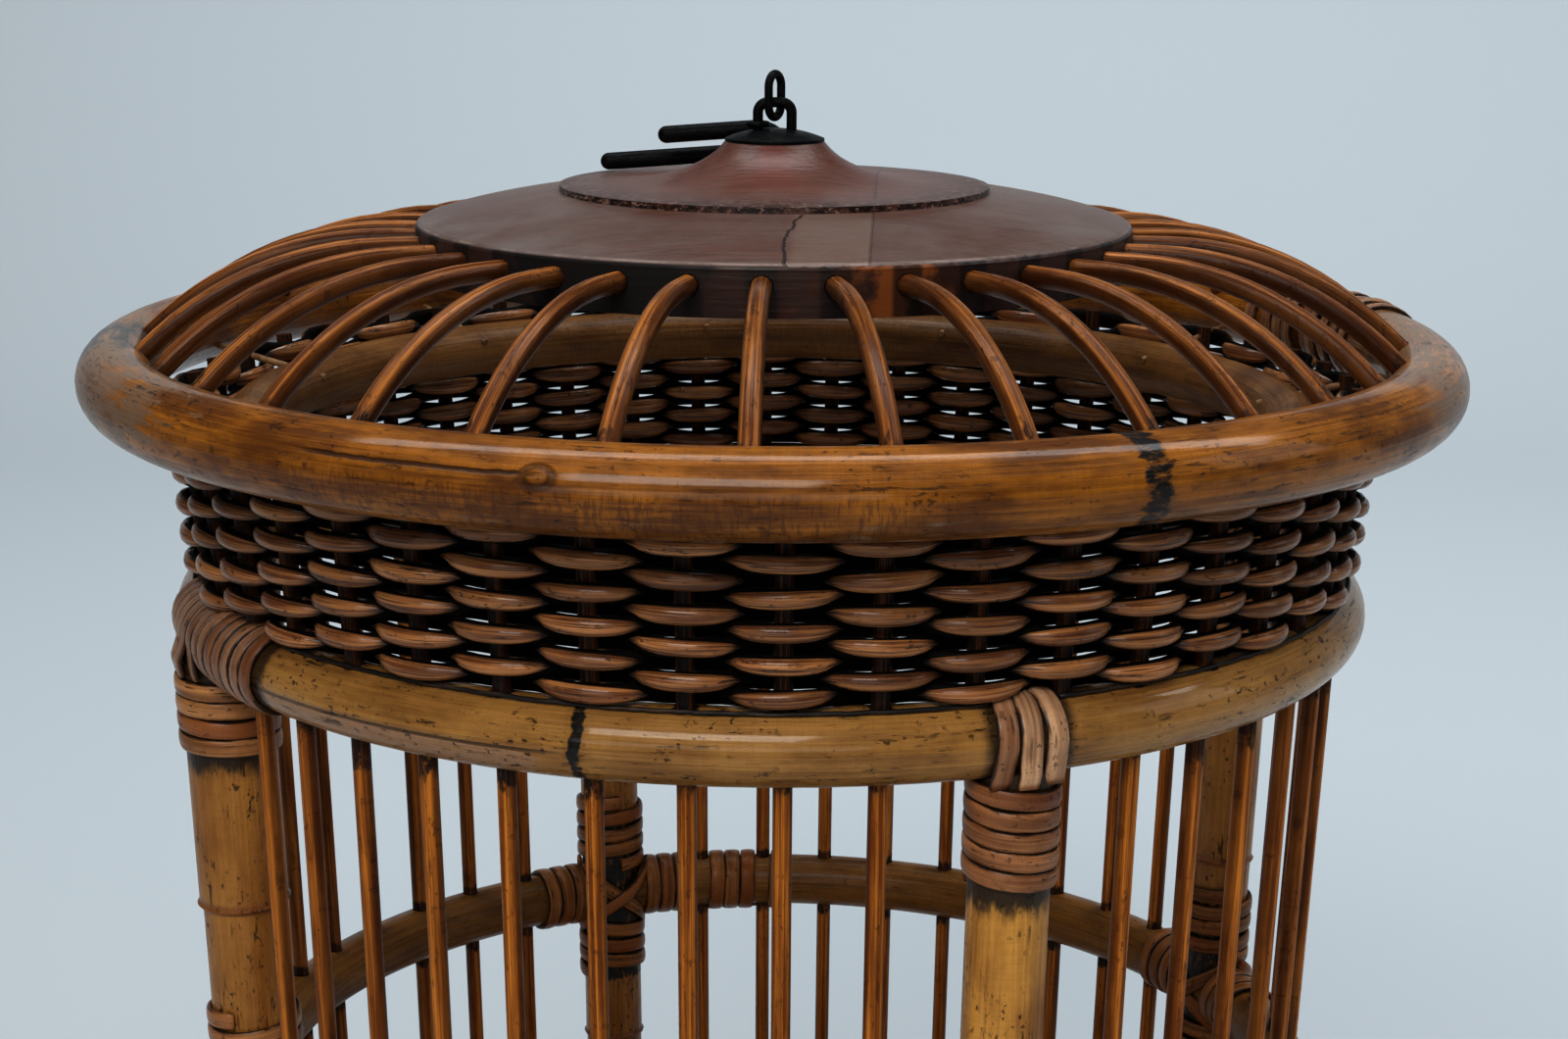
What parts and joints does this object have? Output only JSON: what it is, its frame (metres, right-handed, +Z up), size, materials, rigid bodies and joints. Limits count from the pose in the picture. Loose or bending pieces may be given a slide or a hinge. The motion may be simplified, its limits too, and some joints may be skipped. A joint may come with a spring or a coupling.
{
  "type": "bird cage",
  "caption": "Round bamboo bird cage on short legs: bent hoops, split bars, woven band, turned wooden roof cap on bent spokes, lifting door, and an iron hook to hang it by.",
  "frame": {"origin": "centre of the cage on the surface that its legs stand on", "axes": "+Z up along the cage's axis, -Y towards the side with the door, X across it"},
  "size_m": [0.4599, 0.46, 0.577],
  "materials": {
    "bar_bamboo": "lacquered, satin",
    "base_hoop_bamboo": "lacquered, satin",
    "cap_wood": "dark stain, satin",
    "dome_wood": "dark stain, satin",
    "door_bamboo": "lacquered, satin",
    "door_stick_bamboo": "lacquered, satin",
    "door_wire": "dull",
    "floor_wood": "planed, matt",
    "inner_hoop_bamboo": "lacquered, satin",
    "iron": "forged, satin black",
    "lashing_cane": "natural, satin",
    "lower_hoop_bamboo": "lacquered, satin",
    "mid_hoop_bamboo": "lacquered, satin",
    "peg_bamboo": "natural, matt",
    "perch_wood": "natural, matt",
    "post_back_left_bamboo": "lacquered, satin",
    "post_back_right_bamboo": "lacquered, satin",
    "post_front_left_bamboo": "lacquered, satin",
    "post_front_right_bamboo": "lacquered, satin",
    "rim_bamboo": "lacquered, glossy",
    "spoke_bamboo": "lacquered, satin",
    "weave_strand": "lacquered, satin"
  },
  "bodies": {
    "cage": {"bars_above_door": "bar_bamboo", "base_hoop_1": "base_hoop_bamboo", "base_hoop_2": "base_hoop_bamboo", "base_hoop_3": "base_hoop_bamboo", "base_hoop_4": "base_hoop_bamboo", "base_lashing_back_left": "lashing_cane", "base_lashing_back_right": "lashing_cane", "base_lashing_front_left": "lashing_cane", "base_lashing_front_right": "lashing_cane", "door_lintel": "door_bamboo", "floor_board": "floor_wood", "floor_pegs": "peg_bamboo", "hoop_lashing_front_left": "lashing_cane", "hoop_pegs": "peg_bamboo", "inner_hoop": "inner_hoop_bamboo", "inner_hoop_lashing": "lashing_cane", "iron_plate": "iron", "lower_hoop": "lower_hoop_bamboo", "mid_hoop_1": "mid_hoop_bamboo", "mid_hoop_2": "mid_hoop_bamboo", "mid_hoop_3": "mid_hoop_bamboo", "mid_hoop_4": "mid_hoop_bamboo", "mid_lashing_back_left": "lashing_cane", "mid_lashing_back_right": "lashing_cane", "mid_lashing_front_left": "lashing_cane", "mid_lashing_front_right": "lashing_cane", "perch_high": "perch_wood", "perch_low": "perch_wood", "post_back_left": "post_back_left_bamboo", "post_back_right": "post_back_right_bamboo", "post_front_left": "post_front_left_bamboo", "post_front_right": "post_front_right_bamboo", "post_lashing_back_left": "lashing_cane", "post_lashing_back_right": "lashing_cane", "post_lashing_front_left": "lashing_cane", "post_lashing_front_right": "lashing_cane", "rim_hoop": "rim_bamboo", "rim_lashing": "lashing_cane", "roof_cap": "cap_wood", "roof_dome": "dome_wood", "roof_spokes": "spoke_bamboo", "short_stakes": "bar_bamboo", "side_bars": "bar_bamboo", "staple": "iron", "weave_base_strand": "weave_strand", "weave_rows": "weave_strand"},
    "door": {"door_bottom_rail": "door_bamboo", "door_top_rail": "door_bamboo", "door_sticks": "door_stick_bamboo", "door_staples": "door_wire"},
    "chain_link": {"chain_link": "iron"},
    "hanging_hook": {"hanging_hook": "iron"}
  },
  "joints": [
    {"name": "door_slide", "type": "slide", "parent": "cage", "child": "door", "axis": [-0.0163, -0.0377, 0.9992], "range_m": [0, 0.066]},
    {"name": "link_swing", "type": "hinge", "parent": "cage", "child": "chain_link", "pos_m": [0, 0, 0.56631], "axis": [1, 0, 0], "range_deg": [-35, 35]},
    {"name": "hook_swivel", "type": "hinge", "parent": "cage", "child": "hanging_hook", "pos_m": [-0.0056, 0, 0.55911], "axis": [0, 0, 1], "range_deg": [0, 95]}
  ]
}
